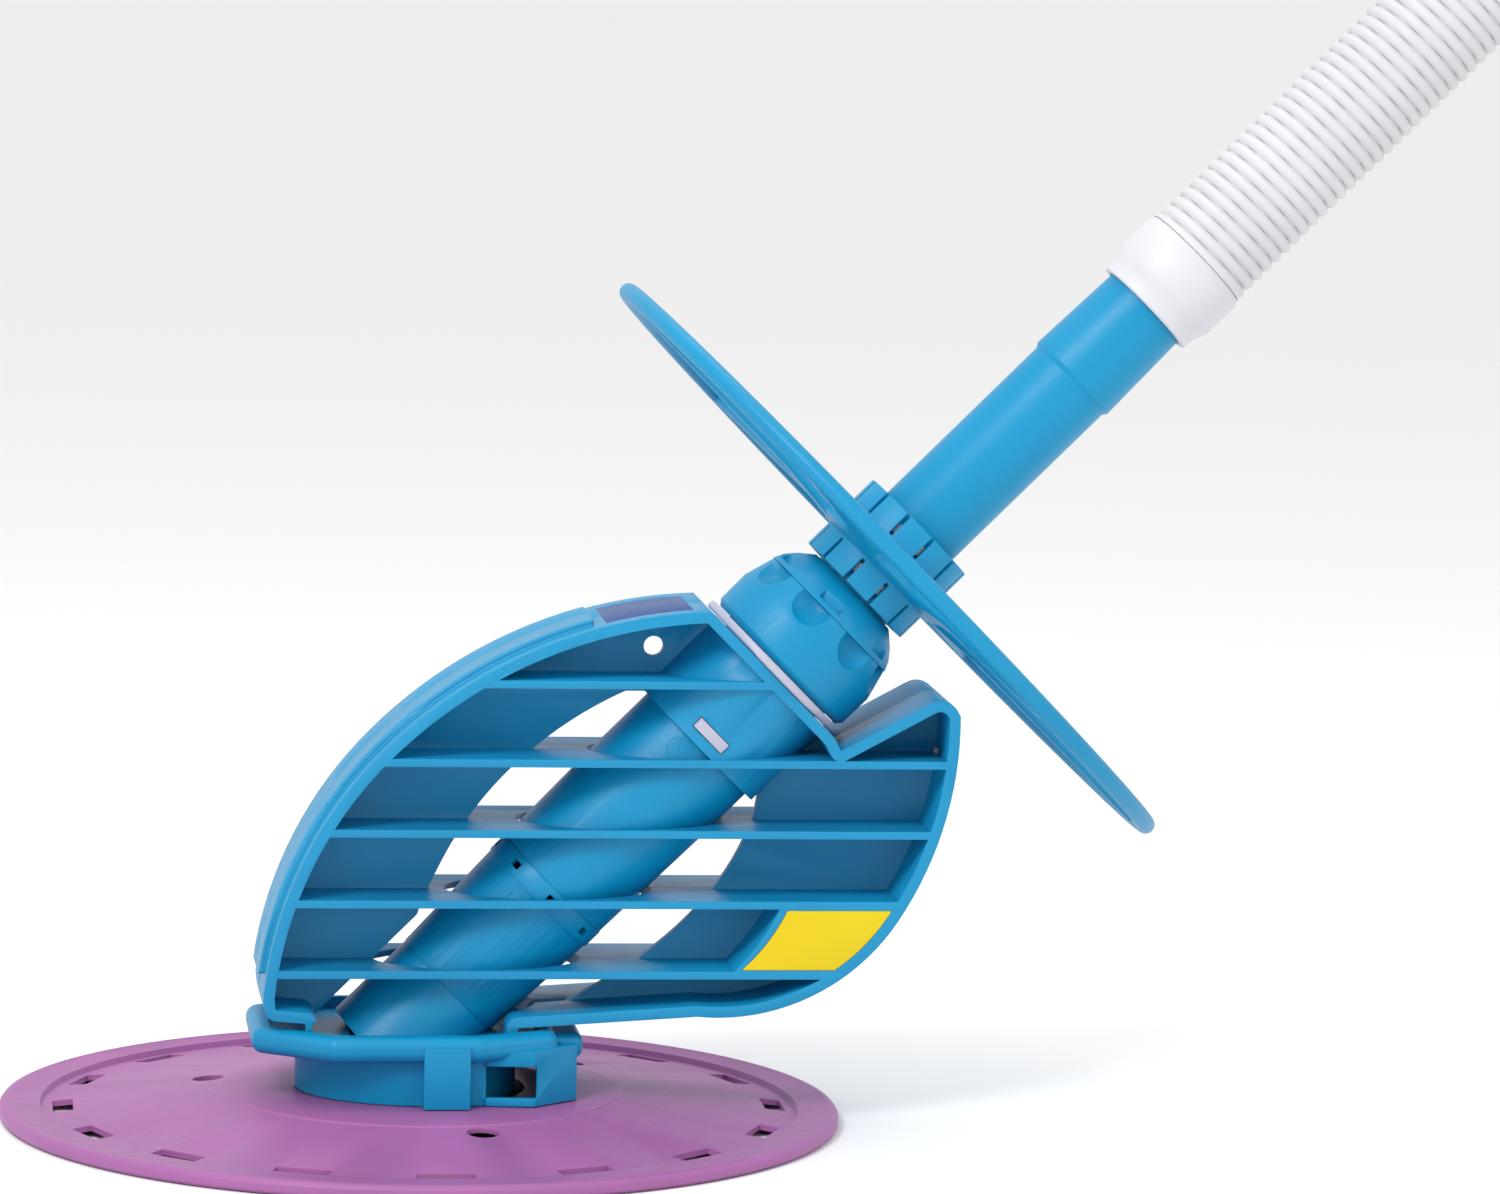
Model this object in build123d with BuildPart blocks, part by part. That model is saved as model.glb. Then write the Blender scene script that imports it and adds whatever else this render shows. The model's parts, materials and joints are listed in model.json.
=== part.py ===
from build123d import *
import os
from math import cos, sin, radians

# Suction-side automatic pool cleaner. Millimetres. The origin is the centre of the suction
# inlet on the floor, +Z is up and +X points toward the hose. The head is symmetric about Y = 0.

os.makedirs("parts", exist_ok=True)

# ---------------------------------------------------------------- driving dimensions
clearance = 0.3            # gap between pieces that move on each other
seat_gap = 0.1             # gap between pieces that only sit together

# Disc and foot
disc_radius = 185.0
disc_rim_width = 18.0
disc_rim_height = 6.0
disc_thickness = 2.6
disc_hub_height = 13.2     # top of the disc at its middle
disc_bore_radius = 46.1
disc_step_radius = 88.0    # edge of the raised middle
disc_slot_count = 16
disc_slot_radius = 157.0
disc_slot_size = (9.0, 25.0)
disc_hole_count = 3
disc_hole_radius = 97.0
inlet_radius = 38.8
inlet_wall = 3.0
foot_radius = 60.0
foot_height = 9.2
foot_lip = 2.0

# Base housing
neck_bottom = 13.5
neck_half_length = 61.5
neck_half_width = 50.0
neck_centre_x = 6.0
neck_wall = 3.0
flange_bottom = 33.0
flange_top = 44.5
deck_top = 39.0
flange_bead = 8.0
flange_outline = [(-76, -30), (-42, -56), (22, -56), (57, -41), (57, 41), (22, 56), (-42, 56),
                  (-76, 30)]

# Pipe line, square to which everything above the base is turned
pipe_tilt = 45.0
foot_x = -47.0             # where the pipe axis meets the floor
throat_radius = 27.0
throat_end = 83.0
lower_tube_end = 147.0
tube_wall = 2.5
lower_tube_radius = 29.5
collar_start = 235.5
collar_end = 281.0
upper_tube_radius = 31.0
collar_radius = 34.8
sleeve_radius = 28.2
sleeve_bore = 26.0
sleeve_flange_radius = 40.4
sleeve_flange_end = 285.0
nut_radius = 38.4
nut_end = 317.0
nut_recesses = 8
cap_end = 332.0
inner_pipe_radius = 17.8
inner_pipe_bore = 15.8
outer_pipe_radius = 20.7
outer_pipe_bore = 18.3
outer_pipe_start = 322.0
pipe_step = 467.0
pipe_step_radius = 22.1
outer_pipe_end = 538.0

# Deflector wheel
wheel_station = 352.5
wheel_radius = 167.6
wheel_rim_thickness = 7.8
wheel_spokes = 6
hub_radius = 29.2
hub_half_length = 20.0
hub_core_half = 9.5
hub_finger_bore = 25.2
hub_slots = 12
hub_slot_phase = 6.5
hub_slot_width = 2.0

# Hose
cuff_start = 511.0
cuff_end = 543.0
cuff_radius = 27.4
hose_radius = 26.3
hose_bore = 19.5
hose_length = 350.0
end_cuff_length = 57.0
cuff_bore = 21.1

# Fin shells
shell_half_width = 37.0
rim_wall = 4.8
web_wall = 2.5
slat_thickness = 3.4
slat_levels = [69.0, 100.1, 131.2, 162.3, 196.9]
latch_rise = 4.0           # how far the latches sit above the pipe axis
tube_gap_radius = 32.6
bumper_half_width = 24.0
bumper_height = 2.8        # how far the front bumper stands out from the rim
pin_radius = 1.3
pin_reach = 9.0
pin_places = [(-67.0, 75.5), (-44.0, 133.4), (8.5, 188.6), (225.4, 165), (180.5, 71.5)]

# ---------------------------------------------------------------- frame of the pipe line
run = cos(radians(pipe_tilt))
rise = sin(radians(pipe_tilt))
pipe_axis = Axis((foot_x, 0, 0), (run, 0, rise))
pipe_section = Plane(origin=(foot_x, 0, 0), x_dir=(run, 0, rise), z_dir=(0, -1, 0))


def along(station):
    """Plane square to the pipe axis; its local X points up, its local Y toward -Y."""
    return Plane(
        origin=(foot_x + station * run, 0, station * rise),
        x_dir=(-rise, 0, run),
        z_dir=(run, 0, rise),
    )


def turn(points, mode=Mode.ADD):
    """Revolve a closed outline of (station, radius) points about the pipe axis."""
    with BuildSketch(pipe_section) as profile:
        with BuildLine():
            Polyline(*points, close=True)
        make_face()
    revolve(profile.sketch, axis=pipe_axis, mode=mode)


def turn_upright(points, mode=Mode.ADD):
    """Revolve a closed outline of (radius, height) points about the Z axis."""
    with BuildSketch(Plane.XZ) as profile:
        with BuildLine():
            Polyline(*points, close=True)
        make_face()
    revolve(profile.sketch, axis=Axis.Z, mode=mode)


def tube(start, end, outer, inner):
    """Outline of a plain tube, for turn()."""
    return [(start, inner), (start, outer), (end, outer), (end, inner)]


def save(piece, name):
    piece.part.label = name
    export_step(piece.part, "parts/" + name + ".step")


# ---------------------------------------------------------------- disc
with BuildPart() as disc:
    rim_inner = disc_radius - disc_rim_width
    hub_bottom = disc_hub_height - disc_thickness - 1.0
    turn_upright([
        (disc_bore_radius, hub_bottom),
        (disc_bore_radius, disc_hub_height),
        (disc_step_radius, disc_hub_height - 0.6),
        (disc_step_radius + 0.8, disc_hub_height - 1.4),
        (rim_inner - 0.8, disc_thickness + 0.9),
        (rim_inner, disc_rim_height),
        (disc_radius - 5, disc_rim_height - 0.3),
        (disc_radius - 3.4, disc_rim_height + 0.3),
        (disc_radius - 1.2, disc_rim_height - 0.2),
        (disc_radius, disc_rim_height - 1.8),
        (disc_radius, 1.2),
        (disc_radius - 1.2, 0),
        (rim_inner + 3, 0),
        (rim_inner - 1, 0.9),
        (disc_step_radius, hub_bottom),
    ])
    with BuildSketch(Plane.XY):
        with PolarLocations(disc_slot_radius, disc_slot_count):
            Rectangle(*disc_slot_size)
        with PolarLocations(disc_hole_radius, disc_hole_count, start_angle=162):
            Circle(7)
    extrude(amount=disc_hub_height + 1, mode=Mode.SUBTRACT)
save(disc, "disc")

# ---------------------------------------------------------------- foot pad
foot_bore = inlet_radius + inlet_wall + seat_gap
foot_hub_radius = disc_bore_radius - clearance - 0.2
with BuildPart() as foot_pad:
    turn_upright([
        (inlet_radius, 0),
        (foot_radius - 2, 0),
        (foot_radius, 2),
        (foot_radius, foot_height),
        (foot_hub_radius, foot_height),
        (foot_hub_radius, neck_bottom - seat_gap),
        (foot_bore, neck_bottom - seat_gap),
        (foot_bore, foot_lip),
        (inlet_radius, foot_lip),
    ])
    # Radial channels that let water in under the sole
    with BuildSketch(Plane.XY):
        with PolarLocations((foot_radius + foot_bore) / 2 + 2, 12, start_angle=15):
            Rectangle(foot_radius - foot_bore + 3, 6)
    extrude(amount=3, mode=Mode.SUBTRACT)
save(foot_pad, "foot_pad")

# ---------------------------------------------------------------- base housing
with BuildPart() as base_flange:
    with BuildSketch(Plane.XY.offset(flange_bottom)):
        with BuildLine():
            Polyline(*flange_outline, close=True)
        make_face()
    extrude(amount=flange_top - flange_bottom)
    fillet(base_flange.edges().filter_by(Axis.Z), radius=6)
    fillet(base_flange.faces().sort_by(Axis.Z)[-1].edges(), radius=5)
    fillet(base_flange.faces().sort_by(Axis.Z)[0].edges(), radius=5)
    with BuildSketch(Plane.XY.offset(deck_top)):
        with BuildLine():
            Polyline(*flange_outline, close=True)
        make_face()
        offset(amount=-flange_bead, kind=Kind.INTERSECTION, mode=Mode.REPLACE)
    extrude(amount=flange_top, mode=Mode.SUBTRACT)

with BuildPart() as rear_step:
    with BuildSketch(Plane.XY.offset(flange_bottom - 2)):
        with Locations((57.5, 0)):
            Rectangle(23, 62)
    extrude(amount=11)
    fillet(rear_step.edges(), radius=4)

with BuildPart() as base_housing:
    # Oval neck with the rear duct behind it
    with BuildSketch(Plane.XY.offset(neck_bottom)):
        with Locations((neck_centre_x, 0)):
            Ellipse(neck_half_length, neck_half_width)
        with BuildLine():
            Polyline((25, -49), (46, -51), (66, -34), (66, 34), (46, 51), (25, 49), close=True)
        make_face()
    extrude(amount=deck_top - neck_bottom - 1)
    with BuildSketch(Plane.XY.offset(neck_bottom - 1)):
        with Locations((neck_centre_x, 0)):
            Ellipse(neck_half_length - neck_wall, neck_half_width - neck_wall)
        with BuildLine():
            Polyline((25, -46), (45, -48), (63, -32.5), (63, 32.5), (45, 48), (25, 46), close=True)
        make_face()
    extrude(amount=flange_bottom - neck_bottom + 1, mode=Mode.SUBTRACT)
    # Bypass windows, one on each side of the duct
    with BuildSketch(Plane.XY.offset(neck_bottom + 3.5)):
        with Locations((36, 0)):
            Rectangle(22, 140)
    extrude(amount=14, mode=Mode.SUBTRACT)
    add(base_flange.part)
    add(rear_step.part)
    # Side lugs over the neck
    with BuildSketch(Plane.XY.offset(neck_bottom)):
        with Locations((7.5, -53), (7.5, 53)):
            Rectangle(20, 9)
    extrude(amount=flange_top - neck_bottom - 4)
    # Inlet tube and the slanted throat
    with BuildSketch(Plane.XY.offset(foot_lip + seat_gap)):
        Circle(inlet_radius + inlet_wall)
    extrude(amount=deck_top - foot_lip - 1)
    with BuildSketch(along(40)):
        Circle(throat_radius)
    extrude(amount=throat_end - 40)
    with BuildSketch(Plane.XY.offset(foot_lip)):
        Circle(inlet_radius)
    extrude(amount=deck_top - foot_lip - 5, mode=Mode.SUBTRACT)
    with BuildSketch(along(38)):
        Circle(throat_radius - tube_wall)
    extrude(amount=throat_end - 38 + 1, mode=Mode.SUBTRACT)
save(base_housing, "base_housing")

# ---------------------------------------------------------------- tubes of the head
with BuildPart() as throat_seal:
    turn(tube(throat_end - 3, throat_end - 0.4, throat_radius - tube_wall - 0.1,
              throat_radius - tube_wall - 2))
save(throat_seal, "throat_seal")

with BuildPart() as lower_tube:
    bore = throat_radius - tube_wall
    turn([
        (throat_end + seat_gap, bore),
        (throat_end + seat_gap, throat_radius + 0.3),
        (lower_tube_end - 9, lower_tube_radius),
        (lower_tube_end - 9, lower_tube_radius + 0.6),
        (lower_tube_end, lower_tube_radius + 0.6),
        (lower_tube_end, lower_tube_radius - tube_wall),
        (lower_tube_end - 9, lower_tube_radius - tube_wall),
    ])
    # Bayonet windows round the upper end
    for angle in range(0, 360, 45):
        window = Rotation(0, 0, angle) * Pos(lower_tube_radius, 0, lower_tube_end - 4.5)
        add(along(0).location * window * Box(8, 5, 3.2, mode=Mode.PRIVATE),
            mode=Mode.SUBTRACT)
save(lower_tube, "lower_tube")

with BuildPart() as upper_tube:
    turn([
        (lower_tube_end + seat_gap, lower_tube_radius - tube_wall),
        (lower_tube_end + seat_gap, lower_tube_radius + 0.2),
        (collar_start - 30, upper_tube_radius),
        (collar_end - 0.2, upper_tube_radius),
        (collar_end - 0.2, sleeve_radius + seat_gap),
        (collar_start + 4, sleeve_radius + seat_gap),
        (collar_start - 30, upper_tube_radius - tube_wall),
    ])
    for side in (-1, 1):
        slot = Pos(latch_rise, side * upper_tube_radius, collar_start + 7.5)
        add(along(0).location * slot * Box(17.6, 9, 5.6, mode=Mode.PRIVATE),
            mode=Mode.SUBTRACT)
save(upper_tube, "upper_tube")

# ---------------------------------------------------------------- diaphragm cassette
with BuildPart() as cassette_sleeve:
    ledge = sleeve_bore - 4
    turn([
        (collar_start + 4.2, ledge),
        (collar_start + 4.2, sleeve_radius),
        (collar_end + 0.2, sleeve_radius),
        (collar_end + 0.2, sleeve_flange_radius - 0.8),
        (collar_end + 1, sleeve_flange_radius),
        (sleeve_flange_end - 0.8, sleeve_flange_radius),
        (sleeve_flange_end, sleeve_flange_radius - 0.8),
        (sleeve_flange_end, 30),
        (nut_end - 11.2, 30),
        (nut_end - 11.2, sleeve_bore),
        (nut_end - 17, sleeve_bore),
        (nut_end - 17, 20),
        (nut_end - 20, 20),
        (nut_end - 22, sleeve_bore),
        (collar_start + 7.2, sleeve_bore),
        (collar_start + 7.2, ledge),
    ])
    for side in (-1, 1):
        latch_reach = side * (collar_radius + sleeve_bore + 1) / 2
        latch = Pos(latch_rise, latch_reach, collar_start + 7.5)
        size = collar_radius - sleeve_bore
        add(along(0).location * latch * Box(17, size, 5, mode=Mode.PRIVATE))
save(cassette_sleeve, "cassette_sleeve")

with BuildPart() as diaphragm:
    flange_low = collar_start + 7.4
    turn([
        (lower_tube_end + 14, 16),
        (lower_tube_end + 14, 20),
        (lower_tube_end + 30, 21),
        (flange_low, 21),
        (flange_low, sleeve_bore - 0.3),
        (flange_low + 2.8, sleeve_bore - 0.3),
        (flange_low + 2.8, 18),
        (lower_tube_end + 30, 18),
    ])
save(diaphragm, "diaphragm")

with BuildPart() as diaphragm_ring:
    turn(tube(flange_low + 3, flange_low + 6.5, sleeve_bore - 0.2, 18.5))
save(diaphragm_ring, "diaphragm_ring")

# ---------------------------------------------------------------- hand nut and its cap
with BuildPart() as hand_nut:
    turn([
        (sleeve_flange_end + clearance, 30 + clearance),
        (sleeve_flange_end + clearance, nut_radius - 2.2),
        (sleeve_flange_end + 3, nut_radius),
        (nut_end - 14, nut_radius + 0.2),
        (nut_end, nut_radius - 3.6),
        (nut_end, 24.2),
        (nut_end - 9, 24.2),
        (nut_end - 11, 26.5),
        (nut_end - 11, 30 + clearance),
    ])
    # Finger recesses open toward the cap
    for count in range(nut_recesses):
        spin = Rotation(0, 0, (count + 0.5) * 360 / nut_recesses)
        recess = spin * Pos(nut_radius + 4.9, 0, nut_end)
        add(along(0).location * recess * Sphere(13, mode=Mode.PRIVATE),
            mode=Mode.SUBTRACT)
save(hand_nut, "hand_nut")

with BuildPart() as pipe_gasket:
    turn(tube(nut_end - 8.8, nut_end - 6.4, 24, outer_pipe_radius - 1))
save(pipe_gasket, "pipe_gasket")

with BuildPart() as cap_ring:
    turn([
        (nut_end + seat_gap, outer_pipe_radius + 0.9),
        (nut_end + seat_gap, nut_radius - 3.2),
        (nut_end + 4.5, nut_radius - 5.2),
        (nut_end + 9, nut_radius - 9),
        (nut_end + 12.5, nut_radius - 13),
        (cap_end - 0.5, outer_pipe_radius + 2.2),
        (cap_end - 0.5, outer_pipe_radius + 0.9),
    ])
    turn(tube(nut_end - 6.2, nut_end + 0.3, 24, outer_pipe_radius + 0.9))
    # Spanner notches round the dome
    for angle in range(15, 360, 60):
        notch = Rotation(0, 0, angle) * Pos(nut_radius - 3.5, 0, nut_end + 5.2)
        add(along(0).location * notch * Box(8, 12, 5.5, mode=Mode.PRIVATE),
            mode=Mode.SUBTRACT)
save(cap_ring, "cap_ring")

# ---------------------------------------------------------------- telescoping pipes
with BuildPart() as inner_pipe:
    turn([
        (nut_end - 34, inner_pipe_bore),
        (nut_end - 34, inner_pipe_radius),
        (nut_end - 16.6, inner_pipe_radius),
        (nut_end - 16.6, sleeve_bore - 0.4),
        (nut_end - 13, sleeve_bore - 0.4),
        (nut_end - 13, inner_pipe_radius),
        (440, inner_pipe_radius),
        (440, inner_pipe_bore),
    ])
save(inner_pipe, "inner_pipe")

with BuildPart() as outer_pipe:
    turn([
        (outer_pipe_start, outer_pipe_bore),
        (outer_pipe_start, outer_pipe_radius),
        (pipe_step - 2, outer_pipe_radius),
        (pipe_step, pipe_step_radius),
        (cuff_start + 2, outer_pipe_radius + 0.1),
        (outer_pipe_end, outer_pipe_radius),
        (outer_pipe_end, outer_pipe_bore),
    ])
save(outer_pipe, "outer_pipe")

# ---------------------------------------------------------------- deflector wheel
with BuildPart() as wheel_hub:
    low = wheel_station - hub_half_length
    high = wheel_station + hub_half_length
    core_low = wheel_station - hub_core_half
    core_high = wheel_station + hub_core_half
    turn(tube(core_low, core_high, hub_radius, outer_pipe_radius + 0.5))
    turn(tube(low, core_low, hub_radius, hub_finger_bore))
    turn(tube(core_high, high, hub_radius, hub_finger_bore))
    # Slots that split each end into fingers
    slot_length = hub_half_length - hub_core_half + 1.5
    for slot_centre in (low + slot_length / 2 - 0.5, high - slot_length / 2 + 0.5):
        for count in range(hub_slots):
            spin = Rotation(0, 0, hub_slot_phase + count * 360 / hub_slots)
            place = spin * Pos(hub_radius - 1, 0, slot_centre)
            slot = Box(10, hub_slot_width, slot_length + 1, mode=Mode.PRIVATE)
            add(along(0).location * place * slot, mode=Mode.SUBTRACT)
save(wheel_hub, "wheel_hub")

with BuildPart() as deflector_wheel:
    # Round-edged rim
    rim_half = wheel_rim_thickness / 2
    with BuildSketch(pipe_section):
        with Locations((wheel_station, wheel_radius - rim_half)):
            Circle(rim_half)
    revolve(axis=pipe_axis)
    # Spokes that thicken toward the hub
    for count in range(wheel_spokes):
        angle = radians(count * 360 / wheel_spokes)
        middle = along(wheel_station)
        outward = middle.x_dir * cos(angle) + middle.y_dir * sin(angle)
        spoke_start = Plane(
            origin=middle.origin + outward * (hub_radius + 3),
            x_dir=middle.z_dir.cross(outward),
            z_dir=outward,
        )
        with BuildSketch(spoke_start) as root_shape:
            RectangleRounded(20, 12, 5)
        with BuildSketch(spoke_start.offset(30)) as mid_shape:
            RectangleRounded(13, 7.4, 3.4)
        with BuildSketch(spoke_start.offset(131)) as tip_shape:
            RectangleRounded(10, 6.6, 3)
        loft([root_shape.sketch, mid_shape.sketch, tip_shape.sketch], ruled=True)
    turn([
        (wheel_station - 6.4, hub_radius + seat_gap),
        (wheel_station - 6.4, hub_radius + 3),
        (wheel_station - 4, hub_radius + 9),
        (wheel_station + 4, hub_radius + 9),
        (wheel_station + 6.4, hub_radius + 3),
        (wheel_station + 6.4, hub_radius + seat_gap),
    ])
save(deflector_wheel, "deflector_wheel")

with BuildPart() as lower_stop_ring:
    turn(tube(core_low - 5, core_low - clearance, hub_finger_bore - 0.6, outer_pipe_radius + 0.05))
save(lower_stop_ring, "lower_stop_ring")

with BuildPart() as upper_stop_ring:
    turn(tube(core_high + clearance, core_high + 5, hub_finger_bore - 0.6,
              outer_pipe_radius + 0.05))
save(upper_stop_ring, "upper_stop_ring")

# ---------------------------------------------------------------- hose
hose_start = cuff_end
hose_end = hose_start + hose_length
with BuildPart() as hose_cuff:
    turn([
        (cuff_start, cuff_bore + 0.3),
        (cuff_start, 24.2),
        (cuff_start + 1, 24.8),
        (cuff_start + 6, 24.8),
        (cuff_start + 12, cuff_radius),
        (cuff_end - 3, cuff_radius),
        (cuff_end, cuff_radius - 1.6),
        (cuff_end, hose_bore),
        (outer_pipe_end + 1, hose_bore),
        (outer_pipe_end + 1, cuff_bore),
        (cuff_start + 3, cuff_bore),
    ])
save(hose_cuff, "hose_cuff")

with BuildPart() as hose:
    turn(tube(hose_start, hose_end, hose_radius, hose_bore))
save(hose, "hose")

with BuildPart() as hose_end_cuff:
    end = hose_end + end_cuff_length
    turn([
        (hose_end, hose_bore),
        (hose_end, cuff_radius - 1.6),
        (hose_end + 3, cuff_radius),
        (end - 15, cuff_radius),
        (end - 6, 24.8),
        (end - 1, 24.8),
        (end, 24),
        (end, cuff_bore),
        (end - 40, cuff_bore),
        (end - 40, hose_bore),
    ])
save(hose_end_cuff, "hose_end_cuff")

# ---------------------------------------------------------------- fin shells
# Side view of one shell, drawn as X and Z
with BuildSketch(Plane.XZ) as shell_outline:
    with BuildLine():
        Polyline((-53, deck_top + 0.1), (-53, 47.5), (-70.5, 49), (-71.6, 58))
        front = ThreePointArc((-71.6, 58), (-57.6, 113), (-21.6, 166.5))
        TangentArc((-21.6, 166.5), (121, 229.2), tangent=front % 1)
        Polyline((121, 229.2), (176, 174.2), (179, 168.5), (226, 194), (231.5, 184))
        tail = ThreePointArc((231.5, 184), (225.5, 136), (206, 93))
        TangentArc((206, 93), (118.3, 50.7), tangent=tail % 1)
        Polyline((118.3, 50.7), (39.6, 45.6), (39.6, deck_top + 0.1), (-53, deck_top + 0.1))
    make_face()
    fillet(shell_outline.vertices().sort_by_distance((226, 194, 0))[0], radius=9)
    fillet(shell_outline.vertices().sort_by_distance((-70.5, 49, 0))[0], radius=5)

with BuildSketch(Plane.XZ) as pocket_outline:
    add(shell_outline.sketch)
    offset(amount=-rim_wall, mode=Mode.REPLACE)

with BuildSketch(Plane.XZ) as web_opening:
    with BuildLine():
        Spline((87.4, 190), (48.8, 165.8), (21, 136.4), (3.3, 105.3), (-8, 75))
        Polyline((-8, 75), (-8, 39), (30, 39), (61.7, 50.6))
        Spline((61.7, 50.6), (101.3, 75.2), (129.8, 104.3), (145.7, 136))
        Polyline((145.7, 136), (150, 160), (120, 190), (87.4, 190))
    make_face()

with BuildSketch(Plane.XZ) as plate_shape:
    with BuildLine():
        ThreePointArc((157, 97.9), (148.5, 83.8), (137, 71.2))
        Polyline((137, 71.2), (215, 71.2), (215, 97.9), (157, 97.9))
    make_face()
    add(pocket_outline.sketch, mode=Mode.INTERSECT)

with BuildSketch(Plane.XZ) as label_shape:
    add(shell_outline.sketch)
    offset(shell_outline.sketch, amount=-0.9, mode=Mode.SUBTRACT)
    with Locations((95, 220)):
        Rectangle(38, 40, mode=Mode.INTERSECT)

with BuildPart() as right_fin_shell:
    extrude(shell_outline.sketch, amount=shell_half_width)
    # Front bumper, with its side edge blended into the rim
    with BuildSketch(Plane.XZ):
        add(shell_outline.sketch)
        offset(amount=bumper_height, mode=Mode.REPLACE)
        with BuildLine():
            Polyline((-90, 66), (-30, 70), (78, 170), (68, 240), (-90, 240), close=True)
        make_face(mode=Mode.INTERSECT)
    extrude(amount=bumper_half_width)
    bumper_side = (-bumper_half_width - 0.1, -bumper_half_width + 0.1)
    fillet(right_fin_shell.edges().filter_by_position(Axis.Y, *bumper_side),
           radius=bumper_height / 2 - 0.1)
    with BuildSketch(Plane.XZ.offset(web_wall)):
        add(pocket_outline.sketch)
    extrude(amount=shell_half_width, mode=Mode.SUBTRACT)
    # Open between the legs, where the throat comes up
    with BuildSketch(Plane.XZ.offset(web_wall)):
        with Locations((-7.7, 42)):
            Rectangle(85, 12)
    extrude(amount=shell_half_width, mode=Mode.SUBTRACT)
    extrude(web_opening.sketch, amount=web_wall + 1, mode=Mode.SUBTRACT)
    # Slats
    with BuildSketch(Plane.XZ):
        with Locations([(80, level) for level in slat_levels]):
            Rectangle(400, slat_thickness)
        add(shell_outline.sketch, mode=Mode.INTERSECT)
    extrude(amount=shell_half_width)
    # Solid bed for the accent plate, with the plate's seat in its face
    with BuildSketch(Plane.XZ):
        with BuildLine():
            ThreePointArc((154, 99), (145.4, 84.2), (133.6, 70))
            Polyline((133.6, 70), (215, 70), (215, 99), (154, 99))
        make_face()
        add(pocket_outline.sketch, mode=Mode.INTERSECT)
    extrude(amount=shell_half_width)
    with BuildSketch(Plane.XZ.offset(shell_half_width - 2.4)):
        add(plate_shape.sketch)
    extrude(amount=3, mode=Mode.SUBTRACT)
    with BuildSketch(Plane.XZ):
        add(label_shape.sketch)
    extrude(amount=26.2, mode=Mode.SUBTRACT)
    # Room for the tube, then the collar half round its upper end
    turn(tube(0, collar_start, tube_gap_radius, 0.5), mode=Mode.SUBTRACT)
    with BuildSketch(along(0)):
        Circle(1)
    extrude(amount=collar_start, mode=Mode.SUBTRACT)
    turn(tube(collar_start, collar_end, collar_radius, upper_tube_radius + seat_gap))
    with BuildSketch(along(collar_start)):
        Circle(upper_tube_radius + seat_gap)
    extrude(amount=collar_end - collar_start + 30, mode=Mode.SUBTRACT)
    latch_slot = Pos(latch_rise, collar_radius - 2, collar_start + 7.5)
    add(along(0).location * latch_slot * Box(17.6, 12, 5.6, mode=Mode.PRIVATE),
        mode=Mode.SUBTRACT)
    # Blind holes for the dowel pins
    with BuildSketch(Plane.XZ):
        with Locations(*pin_places):
            Circle(pin_radius + 0.1)
    extrude(amount=pin_reach + 0.5, mode=Mode.SUBTRACT)
    # Round vent in the web under the peak
    with BuildSketch(Plane.XZ):
        with Locations((99.4, 210)):
            Circle(4.4)
    extrude(amount=web_wall, mode=Mode.SUBTRACT)
    split(bisect_by=Plane.XZ.offset(seat_gap / 2), keep=Keep.TOP)
save(right_fin_shell, "right_fin_shell")

with BuildPart() as left_fin_shell:
    mirror(right_fin_shell.part, about=Plane.XZ)
save(left_fin_shell, "left_fin_shell")

# ---------------------------------------------------------------- trim on the shells
with BuildPart() as right_accent_plate:
    with BuildSketch(Plane.XZ.offset(shell_half_width - 2.3)):
        add(plate_shape.sketch)
        offset(amount=-seat_gap, kind=Kind.INTERSECTION, mode=Mode.REPLACE)
    extrude(amount=2.3)
save(right_accent_plate, "right_accent_plate")

with BuildPart() as left_accent_plate:
    mirror(right_accent_plate.part, about=Plane.XZ)
save(left_accent_plate, "left_accent_plate")

with BuildPart() as top_label_plate:
    with BuildSketch(Plane.XZ):
        add(label_shape.sketch)
        offset(amount=-seat_gap / 2, kind=Kind.INTERSECTION, mode=Mode.REPLACE)
    extrude(amount=26, both=True)
save(top_label_plate, "top_label_plate")

# Dowel pins that line up the two shells, set in the thickness of the rim
with BuildPart() as shell_pins:
    with BuildSketch(Plane.XZ):
        with Locations(*pin_places):
            Circle(pin_radius)
    extrude(amount=pin_reach, both=True)
save(shell_pins, "shell_pins")
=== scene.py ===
import json
import math

import bmesh
import bpy
from mathutils import Matrix, Vector


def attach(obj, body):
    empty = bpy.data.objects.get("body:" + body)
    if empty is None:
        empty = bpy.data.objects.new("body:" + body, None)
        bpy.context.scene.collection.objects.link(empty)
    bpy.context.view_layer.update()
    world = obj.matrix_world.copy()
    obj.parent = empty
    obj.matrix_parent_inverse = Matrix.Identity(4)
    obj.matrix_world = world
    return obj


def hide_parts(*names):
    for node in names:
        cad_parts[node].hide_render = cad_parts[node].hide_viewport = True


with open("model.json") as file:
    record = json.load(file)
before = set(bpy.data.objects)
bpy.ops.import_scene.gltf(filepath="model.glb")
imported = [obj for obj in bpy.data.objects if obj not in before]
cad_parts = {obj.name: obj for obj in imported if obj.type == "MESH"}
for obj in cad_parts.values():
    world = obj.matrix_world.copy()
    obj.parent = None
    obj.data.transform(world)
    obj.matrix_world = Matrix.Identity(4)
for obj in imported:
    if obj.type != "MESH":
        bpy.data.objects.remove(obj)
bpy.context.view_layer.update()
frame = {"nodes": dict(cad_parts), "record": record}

nodes = frame["nodes"]
joints = {joint["name"]: joint for joint in frame["record"]["behaviour"]["joints"]}

# The pipe line, which the tubes, the nut, the wheel and the hose all turn about
pipe_foot = Vector(joints["wheel_spin"]["pos_m"])
pipe_dir = Vector(joints["wheel_spin"]["axis"]).normalized()
pipe_up = Vector((-pipe_dir.z, 0, pipe_dir.x))
pipe_side = Vector((0, -1, 0))

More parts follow.
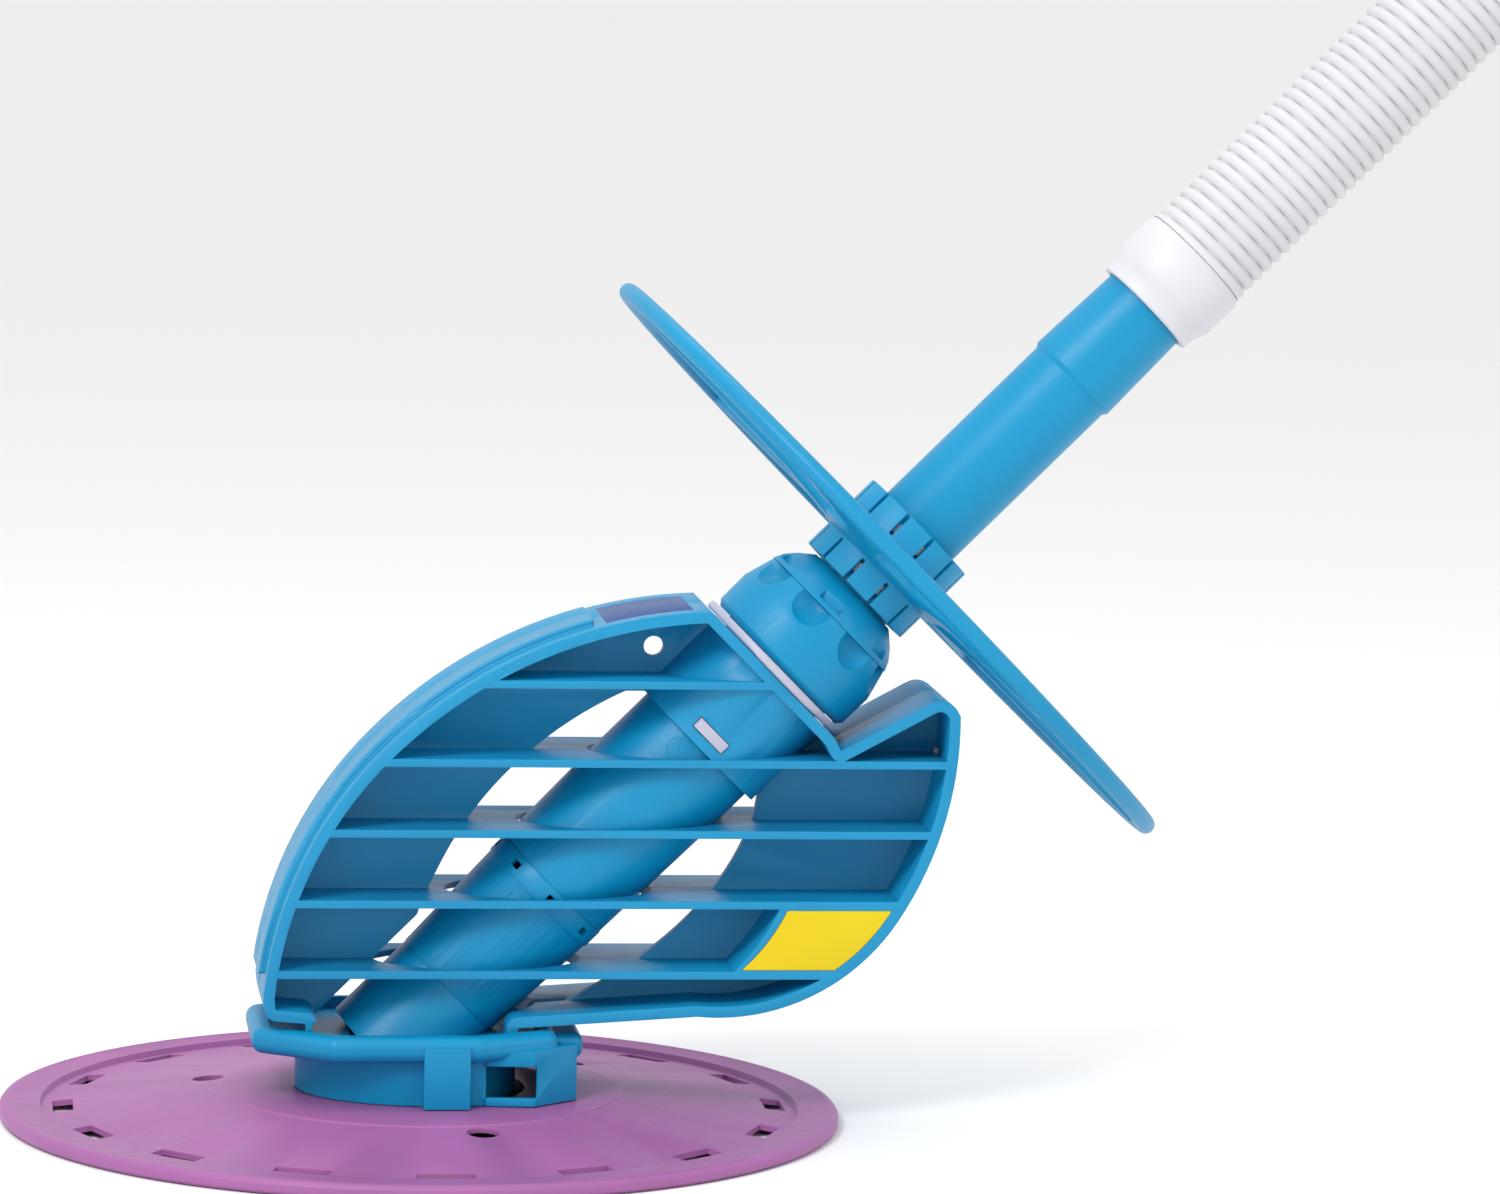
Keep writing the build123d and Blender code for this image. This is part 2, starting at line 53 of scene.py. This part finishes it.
# Route of the hose in metres, as distances along the pipe line from the floor
hose_start = 0.543
hose_end = 0.893
hose_radius = 0.0263
hose_bore = 0.0195
rib_pitch = 0.00574
rib_height = 0.0022
rib_fade = 0.004           # the ribs die out over this much at each end
rings_per_rib = 10

# Smoothing of the CAD pieces
weld_distance = 1e-6
merge_angle = math.radians(0.6)
bevel_angle = math.radians(30)
crease_degrees = 32
turned_slope = 0.07        # a face that leans more than this is not part of a turned surface
upright_pieces = {"disc", "foot_pad"}
flat_pieces = {"base_housing", "right_fin_shell", "left_fin_shell", "right_accent_plate",
               "left_accent_plate", "top_label_plate", "deflector_wheel"}


def on_pipe(station, out=0.0, angle=0.0):
    """Point at a distance along the pipe line, out from it at an angle round it."""
    spoke = pipe_up * math.cos(angle) + pipe_side * math.sin(angle)
    return pipe_foot + pipe_dir * station + spoke * out


# ---------------------------------------------------------------- camera
def make_camera():
    azimuth = math.radians(-7.1)
    elevation = math.radians(6.6)
    roll = math.radians(1.3)
    distance = 2.905
    look_at = Vector((0.1419, 0, 0.2317))
    forward = Vector((-math.sin(azimuth) * math.cos(elevation),
                      math.cos(azimuth) * math.cos(elevation), -math.sin(elevation)))
    right = Vector((math.cos(azimuth), math.sin(azimuth), 0))
    up = right.cross(forward)
    rolled_right = right * math.cos(roll) + up * math.sin(roll)
    rolled_up = up * math.cos(roll) - right * math.sin(roll)
    data = bpy.data.cameras.new("camera")
    data.lens = 158.2
    data.sensor_width = 36
    data.clip_end = 200
    camera = bpy.data.objects.new("camera", data)
    bpy.context.scene.collection.objects.link(camera)
    turn = Matrix((rolled_right, rolled_up, -forward)).transposed().to_4x4()
    camera.matrix_world = Matrix.Translation(look_at - forward * distance) @ turn
    bpy.context.scene.camera = camera
    # Keeps the material colours as they are
    bpy.context.scene.view_settings.view_transform = "Standard"


# ---------------------------------------------------------------- mesh helpers
def new_piece(name, mesh):
    piece = bpy.data.objects.new(name, mesh)
    bpy.context.scene.collection.objects.link(piece)
    return piece


def mesh_from(name, verts, faces):
    mesh = bpy.data.meshes.new(name)
    mesh.from_pydata([tuple(v) for v in verts], [], faces)
    mesh.validate()
    bm = bmesh.new()
    bm.from_mesh(mesh)
    bmesh.ops.recalc_face_normals(bm, faces=bm.faces)
    bm.to_mesh(mesh)
    bm.free()
    return mesh


def smooth(mesh, degrees):
    for polygon in mesh.polygons:
        polygon.use_smooth = True
    mesh.set_sharp_from_angle(angle=math.radians(degrees))


def spun_normals(mesh, foot, axis):
    """Take out of the corner normals whatever turns away from a surface of revolution."""
    normals = [corner.vector.copy() for corner in mesh.corner_normals]
    for polygon in mesh.polygons:
        sideways = axis.cross(polygon.center - foot)
        if sideways.length < 1e-5 or abs(polygon.normal.dot(sideways.normalized())) > turned_slope:
            continue
        for loop in polygon.loop_indices:
            place = mesh.vertices[mesh.loops[loop].vertex_index].co
            round_it = axis.cross(place - foot)
            if round_it.length < 1e-5:
                continue
            round_it.normalize()
            normals[loop] -= round_it * normals[loop].dot(round_it)
            normals[loop].normalize()
    mesh.normals_split_custom_set([tuple(normal) for normal in normals])


def softened(node, width):
    """A copy of a CAD node with its hard edges rounded, which stands for the node."""
    source = nodes[node]
    bm = bmesh.new()
    bm.from_mesh(source.data)
    bmesh.ops.remove_doubles(bm, verts=bm.verts, dist=weld_distance)
    bmesh.ops.dissolve_limit(bm, angle_limit=merge_angle, verts=bm.verts, edges=bm.edges)
    mesh = bpy.data.meshes.new(node + "_soft")
    bm.to_mesh(mesh)
    bm.free()
    piece = new_piece(node + "_soft", mesh)
    bevel = piece.modifiers.new("round", "BEVEL")
    bevel.width = width
    bevel.segments = 2
    bevel.limit_method = "ANGLE"
    bevel.angle_limit = bevel_angle
    bevel.use_clamp_overlap = True
    bpy.context.view_layer.update()
    graph = bpy.context.evaluated_depsgraph_get()
    made = bpy.data.meshes.new_from_object(piece.evaluated_get(graph))
    piece.modifiers.clear()
    piece.data = made
    smooth(made, crease_degrees)
    if node in upright_pieces:
        spun_normals(made, Vector((0, 0, 0)), Vector((0, 0, 1)))
    elif node not in flat_pieces:
        spun_normals(made, pipe_foot, pipe_dir)
    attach(piece, body_with(node))
    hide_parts(node)
    return piece


def body_with(node):
    for body, members in frame["record"]["behaviour"]["bodies"].items():
        if node in members:
            return body
    return None


# ---------------------------------------------------------------- materials
def new_material(name):
    material = bpy.data.materials.new(name)
    material.use_nodes = True
    tree = material.node_tree
    shader = tree.nodes["Principled BSDF"]
    return material, tree, shader


def plastic(name, colour, deep, rough, grain=0.06, wear=0.12, painted_groove_shade=0.0):
    """Moulded plastic: cloudy pigment, flow marks, a fine grain, paler edges, painted shade in the
    grooves.
    """
    material, tree, shader = new_material(name)
    add = tree.nodes.new
    link = tree.links.new
    place = add("ShaderNodeTexCoord")

    cloud = add("ShaderNodeTexNoise")
    cloud.inputs["Scale"].default_value = 9
    cloud.inputs["Detail"].default_value = 5
    link(place.outputs["Object"], cloud.inputs["Vector"])
    pigment = add("ShaderNodeMix")
    pigment.data_type = "RGBA"
    pigment.inputs["A"].default_value = (*deep, 1)
    pigment.inputs["B"].default_value = (*colour, 1)
    spread = add("ShaderNodeMapRange")
    spread.inputs["From Min"].default_value = 0.25
    spread.inputs["From Max"].default_value = 0.62
    link(cloud.outputs["Fac"], spread.inputs["Value"])
    link(spread.outputs["Result"], pigment.inputs["Factor"])

    geometry = add("ShaderNodeNewGeometry")
    edge = add("ShaderNodeMapRange")
    edge.inputs["From Min"].default_value = 0.53
    edge.inputs["From Max"].default_value = 0.66
    edge.inputs["To Max"].default_value = wear
    link(geometry.outputs["Pointiness"], edge.inputs["Value"])
    worn = add("ShaderNodeMix")
    worn.data_type = "RGBA"
    pale = [min(1, c * 1.25 + 0.05) for c in colour]
    worn.inputs["B"].default_value = (*pale, 1)
    link(edge.outputs["Result"], worn.inputs["Factor"])
    link(pigment.outputs["Result"], worn.inputs["A"])

    # Painted shade: the base colour is darkened where the mesh is concave, in the grooves
    groove_shade_mask = add("ShaderNodeMapRange")
    groove_shade_mask.inputs["From Min"].default_value = 0.49
    groove_shade_mask.inputs["From Max"].default_value = 0.40
    groove_shade_mask.inputs["To Max"].default_value = painted_groove_shade
    link(geometry.outputs["Pointiness"], groove_shade_mask.inputs["Value"])
    groove_shaded_colour = add("ShaderNodeMix")
    groove_shaded_colour.data_type = "RGBA"
    groove_shaded_colour.inputs["B"].default_value = (*[c * 0.35 for c in deep], 1)
    link(groove_shade_mask.outputs["Result"], groove_shaded_colour.inputs["Factor"])
    link(worn.outputs["Result"], groove_shaded_colour.inputs["A"])
    link(groove_shaded_colour.outputs["Result"], shader.inputs["Base Color"])

    scratch_place = add("ShaderNodeMapping")
    scratch_place.inputs["Scale"].default_value = (60, 300, 900)
    link(place.outputs["Object"], scratch_place.inputs["Vector"])
    scratch = add("ShaderNodeTexNoise")
    scratch.inputs["Scale"].default_value = 1.6
    scratch.inputs["Detail"].default_value = 3
    link(scratch_place.outputs["Vector"], scratch.inputs["Vector"])
    gloss = add("ShaderNodeMapRange")
    gloss.inputs["From Min"].default_value = 0.3
    gloss.inputs["From Max"].default_value = 0.75
    gloss.inputs["To Min"].default_value = rough * 0.92
    gloss.inputs["To Max"].default_value = min(1, rough * 1.12)
    link(scratch.outputs["Fac"], gloss.inputs["Value"])
    link(gloss.outputs["Result"], shader.inputs["Roughness"])

    grit = add("ShaderNodeTexNoise")
    grit.inputs["Scale"].default_value = 1400
    grit.inputs["Detail"].default_value = 2
    link(place.outputs["Object"], grit.inputs["Vector"])
    flow = add("ShaderNodeTexNoise")
    flow.inputs["Scale"].default_value = 45
    flow.inputs["Detail"].default_value = 3
    link(place.outputs["Object"], flow.inputs["Vector"])
    waves = add("ShaderNodeBump")
    waves.inputs["Strength"].default_value = 0.10
    waves.inputs["Distance"].default_value = 0.0006
    link(flow.outputs["Fac"], waves.inputs["Height"])
    fine = add("ShaderNodeBump")
    fine.inputs["Strength"].default_value = grain
    fine.inputs["Distance"].default_value = 0.0002
    link(grit.outputs["Fac"], fine.inputs["Height"])
    link(waves.outputs["Normal"], fine.inputs["Normal"])
    link(fine.outputs["Normal"], shader.inputs["Normal"])
    shader.inputs["IOR"].default_value = 1.47
    shader.inputs["Specular IOR Level"].default_value = 0.36
    return material


def make_materials():
    return {
        "blue": plastic("blue_plastic", (0.0, 0.25, 0.47), (0.0, 0.215, 0.42), 0.42),
        "disc": plastic("disc_plastic", (0.34, 0.115, 0.32), (0.29, 0.095, 0.275), 0.46,
                        grain=0.14, wear=0.25),
        "yellow": plastic("yellow_plastic", (0.70, 0.53, 0.0), (0.65, 0.49, 0.0), 0.38),
        "label": plastic("label_blue", (0.0, 0.055, 0.24), (0.0, 0.045, 0.21), 0.42),
        "lavender": plastic("lavender_plastic", (0.45, 0.45, 0.56), (0.40, 0.40, 0.51), 0.42),
        "white": plastic("white_plastic", (0.62, 0.62, 0.65), (0.55, 0.55, 0.58), 0.42,
                         wear=0.15),
        # The hose gets painted shade darkening its grooves
        "hose": plastic("hose_plastic", (0.62, 0.62, 0.64), (0.53, 0.53, 0.56), 0.48,
                        wear=0.1, painted_groove_shade=0.5),
        "foot": plastic("foot_rubber", (0.035, 0.035, 0.04), (0.025, 0.025, 0.03), 0.7,
                        grain=0.3),
        "seal": plastic("seal_rubber", (0.02, 0.02, 0.02), (0.014, 0.014, 0.014), 0.65,
                        grain=0.3),
    }


def finish_with(piece, material):
    piece.data.materials.clear()
    piece.data.materials.append(material)


# ---------------------------------------------------------------- hose
def make_hose():
    """Corrugated hose that follows its own straight route out of the cuff."""
    line = bpy.data.curves.new("hose_route", "CURVE")
    line.dimensions = "3D"
    spline = line.splines.new("NURBS")
    route = [on_pipe(s) for s in (hose_start, hose_start + 0.1, hose_end - 0.1, hose_end)]
    spline.points.add(len(route) - 1)
    for point, place in zip(spline.points, route):
        point.co = (*place, 1)
    spline.order_u = 3
    spline.use_endpoint_u = True
    carrier = bpy.data.objects.new("hose_route", line)
    path = [v.co.copy() for v in bpy.data.meshes.new_from_object(carrier).vertices]
    bpy.data.objects.remove(carrier)

    length = (path[-1] - path[0]).length
    rounds = 72
    rings = round(length / rib_pitch * rings_per_rib)
    verts = []
    for ring in range(rings + 1):
        travelled = length * ring / rings
        centre = path[0].lerp(path[-1], travelled / length)
        fade = min(1, travelled / rib_fade, (length - travelled) / rib_fade)
        for step in range(rounds):
            angle = 2 * math.pi * step / rounds
            phase = 2 * math.pi * travelled / rib_pitch - angle
            crest = abs(math.cos(phase / 2)) ** 0.7
            out = hose_radius - rib_height * (1 - crest) * fade
            spoke = pipe_up * math.cos(angle) + pipe_side * math.sin(angle)
            verts.append(centre + spoke * out)
    outer = len(verts)
    for centre in (path[0], path[-1]):
        for step in range(rounds):
            angle = 2 * math.pi * step / rounds
            spoke = pipe_up * math.cos(angle) + pipe_side * math.sin(angle)
            verts.append(centre + spoke * hose_bore)
    faces = []
    for ring in range(rings):
        for step in range(rounds):
            a = ring * rounds + step
            b = ring * rounds + (step + 1) % rounds
            faces.append((a, b, b + rounds, a + rounds))
    last = rings * rounds
    for step in range(rounds):
        after = (step + 1) % rounds
        faces.append((step, after, outer + after, outer + step))
        faces.append((last + step, last + after, outer + rounds + after, outer + rounds + step))
        faces.append((outer + step, outer + after, outer + rounds + after,
                      outer + rounds + step))
    mesh = mesh_from("ribbed_hose", verts, faces)
    smooth(mesh, 75)
    hose = new_piece("ribbed_hose", mesh)
    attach(hose, "pipe")
    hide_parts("hose")
    finish_with(hose, materials["hose"])


# ---------------------------------------------------------------- raised marks
def raised_lines(name, body, lines, width, slot):
    """Fine raised lines, each a list of points, joined in one piece."""
    drawn = bpy.data.curves.new(name, "CURVE")
    drawn.dimensions = "3D"
    drawn.bevel_depth = width / 2
    drawn.bevel_resolution = 2
    drawn.use_fill_caps = True
    for points in lines:
        spline = drawn.splines.new("POLY")
        spline.points.add(len(points) - 1)
        for point, place in zip(spline.points, points):
            point.co = (*place, 1)
    carrier = bpy.data.objects.new(name, drawn)
    mesh = bpy.data.meshes.new_from_object(carrier)
    bpy.data.objects.remove(carrier)
    smooth(mesh, 60)
    piece = new_piece(name, mesh)
    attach(piece, body)
    finish_with(piece, materials[slot])


def on_near_side(station, up, radius):
    """Point on the near side of a tube, at a height across it."""
    return on_pipe(station, radius, math.atan2(math.sqrt(radius ** 2 - up ** 2), up))


def make_marks():
    # Round mould mark: a ring with plain ticks and a short hand
    skin = 0.0309
    station, up = 0.2285, 0.0086
    ring_radius = 0.0052
    ring_steps = 48
    ticks = 12
    ring = []
    for step in range(ring_steps + 1):
        angle = 2 * math.pi * step / ring_steps
        ring.append(on_near_side(station + ring_radius * math.cos(angle),
                                 up + ring_radius * math.sin(angle), skin))
    lines = [ring]
    for step in range(ticks):
        angle = 2 * math.pi * step / ticks
        lines.append([on_near_side(station + reach * math.cos(angle),
                                   up + reach * math.sin(angle), skin)
                      for reach in (0.0032, 0.0043)])
    lines.append([on_near_side(station - 0.0016, up - 0.0016, skin),
                  on_near_side(station + 0.0018, up + 0.0018, skin)])
    raised_lines("mould_mark", "head", lines, 0.0005, "blue")

    # Square outline lower on the tube
    tube_skin = 0.0304
    side_steps = 8
    middle, height, half = 0.2005, 0.0098, 0.0118
    corners = [(middle, height + half), (middle + half, height), (middle, height - half),
               (middle - half, height), (middle, height + half)]
    square = []
    for (s0, u0), (s1, u1) in zip(corners, corners[1:]):
        for step in range(side_steps + 1):
            t = step / side_steps
            square.append(on_near_side(s0 + (s1 - s0) * t, u0 + (u1 - u0) * t, tube_skin))
    raised_lines("tube_panel", "head", [square], 0.0007, "blue")


# ---------------------------------------------------------------- stage
def make_stage():
    floor_mesh = bpy.data.meshes.new("floor")
    size = 60
    floor_mesh.from_pydata([(-size, -size, 0), (size, -size, 0), (size, size, 0),
                            (-size, size, 0)], [], [(0, 1, 2, 3)])
    floor = new_piece("floor", floor_mesh)
    floor.location.z = -0.0006
    material, tree, shader = new_material("pale_floor")
    shader.inputs["Base Color"].default_value = (0.88, 0.88, 0.88, 1)
    shader.inputs["Roughness"].default_value = 0.9
    floor_mesh.materials.append(material)

    world = bpy.data.worlds.new("studio")
    world.use_nodes = True
    world.node_tree.nodes["Background"].inputs["Color"].default_value = (1, 1, 1, 1)
    world.node_tree.nodes["Background"].inputs["Strength"].default_value = 0.95
    bpy.context.scene.world = world

    def soft_light(name, place, aim, size, power):
        data = bpy.data.lights.new(name, "AREA")
        data.shape = "DISK"
        data.size = size
        data.energy = power
        light = bpy.data.objects.new(name, data)
        bpy.context.scene.collection.objects.link(light)
        light.location = place
        light.rotation_euler = (Vector(aim) - Vector(place)).to_track_quat("-Z", "Y").to_euler()

    soft_light("key", (-1.1, -1.6, 1.9), (0.1, 0, 0.2), 0.9, 34)
    soft_light("fill", (1.9, -1.6, 1.1), (0.1, 0, 0.25), 1.6, 7)
    soft_light("top", (0.2, 0.5, 2.2), (0.1, 0, 0.1), 1.4, 9)


# ---------------------------------------------------------------- the object
make_camera()
materials = make_materials()
material_slots = {material.name: slot for slot, material in materials.items()}
material_slots["hose_plastic"] = "white"

softening = {
    "right_fin_shell": 0.0009,
    "left_fin_shell": 0.0009,
    "base_housing": 0.0009,
    "lower_tube": 0.0003,
    "upper_tube": 0.0004,
    "cassette_sleeve": 0.0004,
    "hand_nut": 0.0007,
    "cap_ring": 0.0006,
    "wheel_hub": 0.0004,
    "deflector_wheel": 0.0006,
    "disc": 0.0005,
    "foot_pad": 0.0008,
    "right_accent_plate": 0.0004,
    "left_accent_plate": 0.0004,
    "top_label_plate": 0.0002,
    "outer_pipe": 0.0004,
    "hose_cuff": 0.0007,
    "hose_end_cuff": 0.0007,
}
slot_of = {part["node"]: part["material_slot"] for part in frame["record"]["subparts"]}
for node, source in nodes.items():
    if node == "hose":
        continue
    shown = softened(node, softening[node]) if node in softening else source
    finish_with(shown, materials[slot_of[node]])

make_hose()
make_marks()
make_stage()
